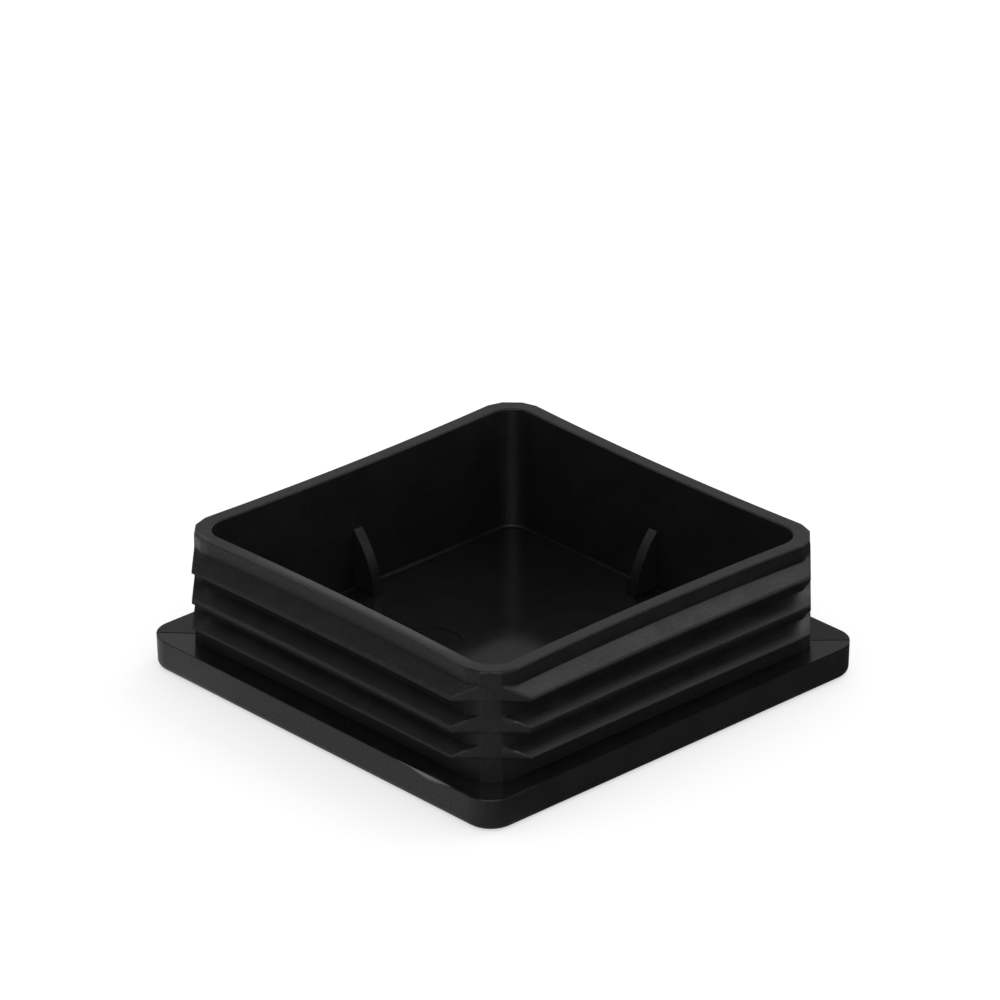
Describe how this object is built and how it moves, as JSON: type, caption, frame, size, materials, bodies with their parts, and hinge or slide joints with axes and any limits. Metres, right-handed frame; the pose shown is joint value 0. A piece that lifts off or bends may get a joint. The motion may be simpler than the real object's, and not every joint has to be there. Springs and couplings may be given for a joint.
{
  "type": "tube end cap",
  "caption": "Push-in end cap for a hollow square tube: a flat square head with rounded edges, and a hollow plug whose walls carry thin sloping fins that grip the tube.",
  "frame": {"origin": "middle of the square show face, on which the cap lies", "axes": "+Z square to the show face, toward the open end of the plug; X and Y square to the flat sides of the head"},
  "size_m": [0.08, 0.08, 0.0238],
  "materials": {
    "end_cap": "black polyethylene, finely stippled walls with a low sheen and a smoother seat"
  },
  "bodies": {
    "root": {"end_cap": "end_cap"}
  },
  "joints": []
}
